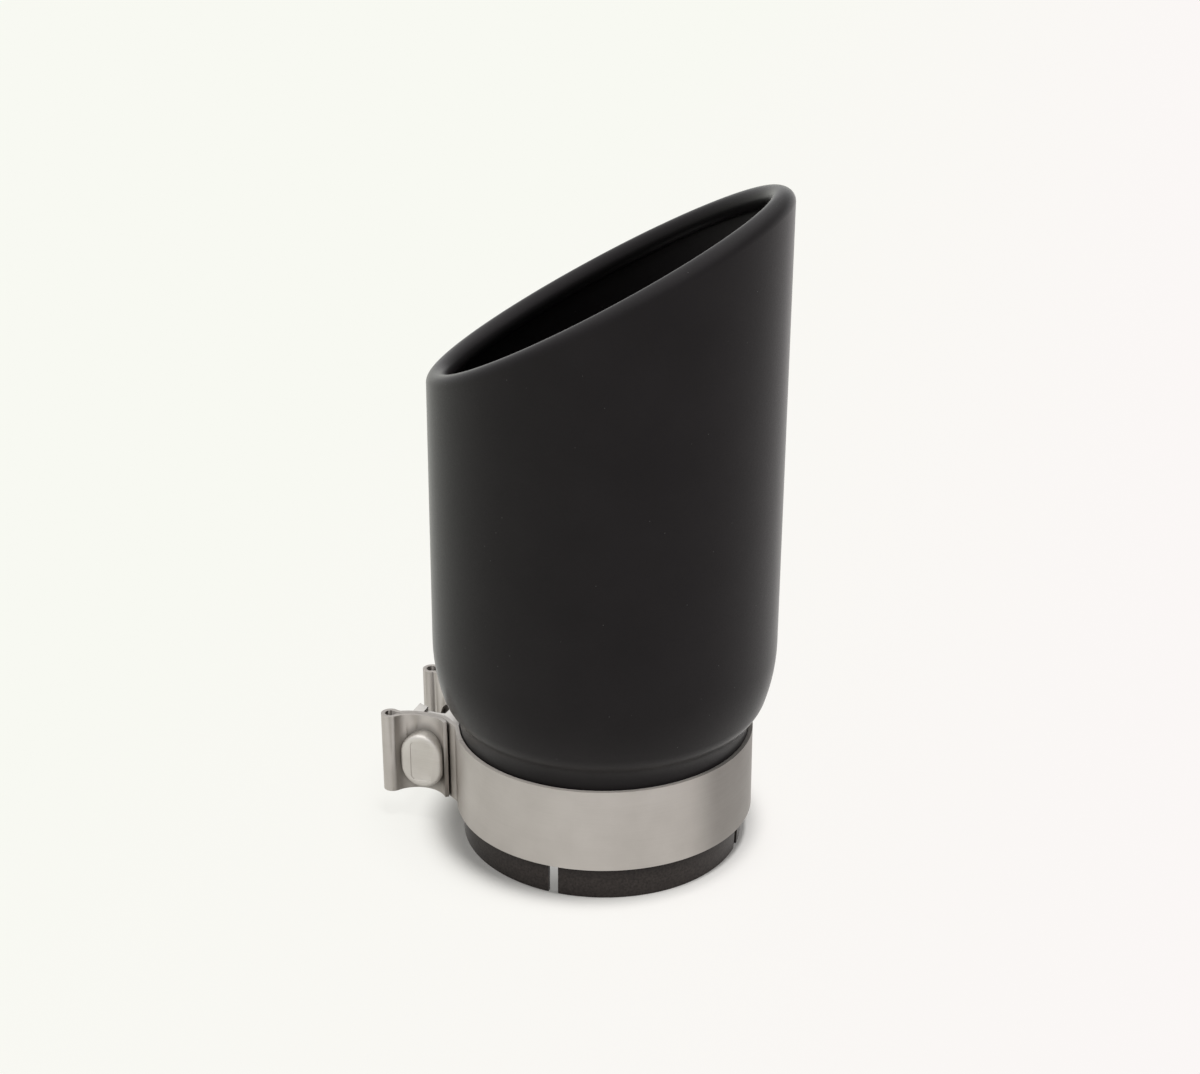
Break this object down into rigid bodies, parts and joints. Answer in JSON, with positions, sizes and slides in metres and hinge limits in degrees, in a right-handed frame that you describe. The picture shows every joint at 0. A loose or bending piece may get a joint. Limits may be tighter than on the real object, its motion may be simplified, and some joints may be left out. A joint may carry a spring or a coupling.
{
  "type": "exhaust tip",
  "caption": "Slash-cut exhaust tip: black coated tube with a rolled-in lip and a rounded shoulder, and a slotted inlet neck closed by a flat steel band clamp with an oval-headed bolt.",
  "frame": {"origin": "centre of the inlet end of the neck, on the tube's axis", "axes": "+Z along the tube's axis from the inlet to the outlet, +X towards the long side of the slash cut"},
  "size_m": [0.1471, 0.127, 0.2495],
  "materials": {
    "coated_tube": "satin black coating with a fine grain",
    "strap_steel": "satin stainless strip",
    "block_steel": "matt steel",
    "bolt_steel": "satin forged steel"
  },
  "bodies": {
    "root": {"tip_body": "coated_tube", "clamp_strap": "strap_steel", "reaction_block": "block_steel", "clamp_bolt": "bolt_steel", "saddle_washer": "block_steel", "clamp_nut": "bolt_steel"}
  },
  "joints": []
}
